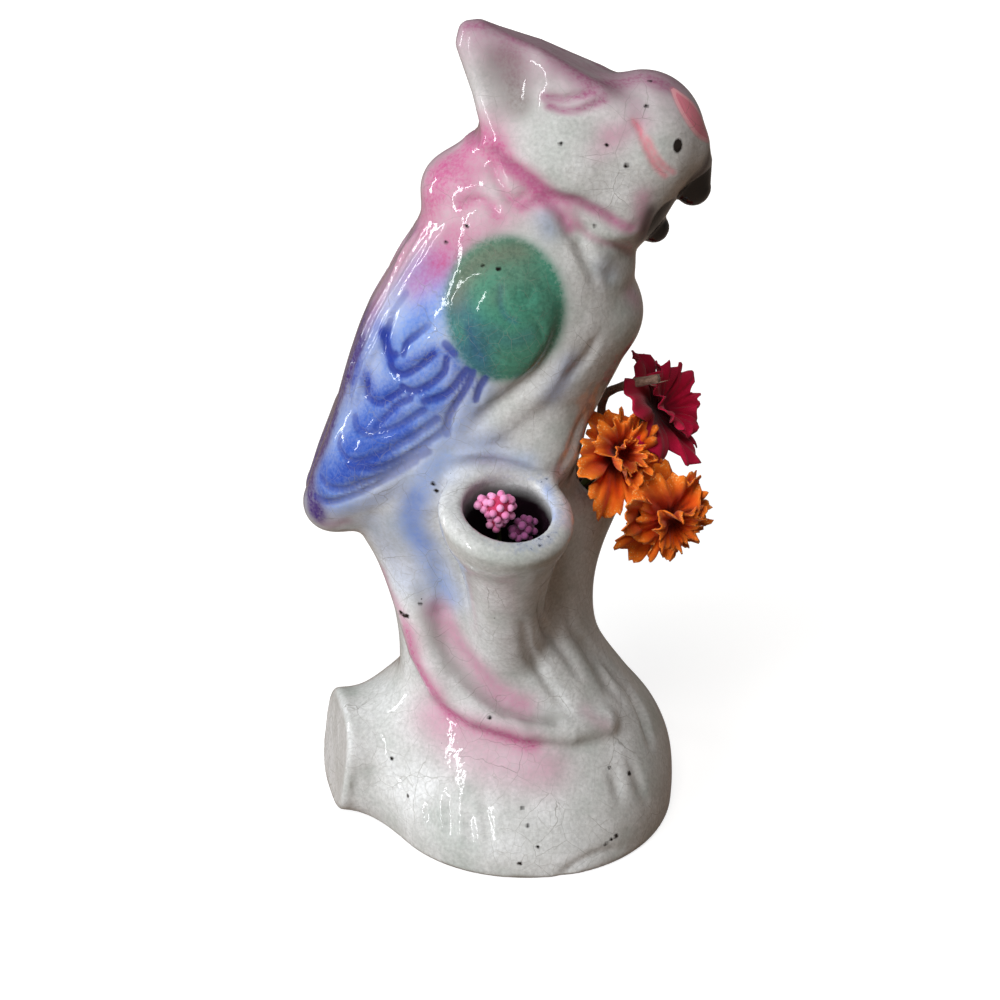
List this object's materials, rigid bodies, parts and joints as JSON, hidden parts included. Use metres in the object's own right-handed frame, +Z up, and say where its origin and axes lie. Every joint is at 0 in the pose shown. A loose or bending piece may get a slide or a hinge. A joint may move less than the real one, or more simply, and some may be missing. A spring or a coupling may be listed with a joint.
{
  "type": "parrot figurine",
  "caption": "Glazed earthenware crested parrot on a hollow tree stump whose open branch stubs hold a lift-out posy of cloth flowers and a lift-out sprig of foam berries.",
  "frame": {"origin": "on the flat unglazed foot under the stump, in the bird's own plane of symmetry", "axes": "+Z up, +X the way the bird looks, -Y the side with the open front branch stub"},
  "size_m": [0.0822, 0.0656, 0.1639],
  "materials": {
    "glaze": "clear crazed gloss glaze over pink, blue and green airbrushed colour",
    "orange_cloth": "matt dyed cloth",
    "crimson_cloth": "matt dyed cloth",
    "green_plastic": "moulded, satin",
    "brown_stalk": "paper-wrapped, matt",
    "pink_foam": "dyed foam pips"
  },
  "bodies": {
    "figurine": {"figurine": "glaze"},
    "posy": {"upper_bloom_outer_petals": "orange_cloth", "upper_bloom_middle_petals": "orange_cloth", "upper_bloom_inner_petals": "orange_cloth", "upper_bloom_calyx": "green_plastic", "upper_bloom_stem": "green_plastic", "lower_bloom_outer_petals": "orange_cloth", "lower_bloom_middle_petals": "orange_cloth", "lower_bloom_inner_petals": "orange_cloth", "lower_bloom_calyx": "green_plastic", "lower_bloom_stem": "green_plastic", "red_bloom_outer_petals": "crimson_cloth", "red_bloom_inner_petals": "crimson_cloth", "red_bloom_calyx": "green_plastic", "red_bloom_stem": "green_plastic", "cut_stalk": "brown_stalk"},
    "berries": {"large_berries": "pink_foam", "large_berries_wire": "green_plastic", "small_berries": "pink_foam", "small_berries_wire": "green_plastic"}
  },
  "joints": [
    {"name": "posy_lift", "type": "slide", "parent": "figurine", "child": "posy", "axis": [0.6428, 0, 0.766], "range_m": [0, 0.055]},
    {"name": "berries_lift", "type": "slide", "parent": "figurine", "child": "berries", "axis": [0, -0.3401, 0.9404], "range_m": [0, 0.045]}
  ]
}
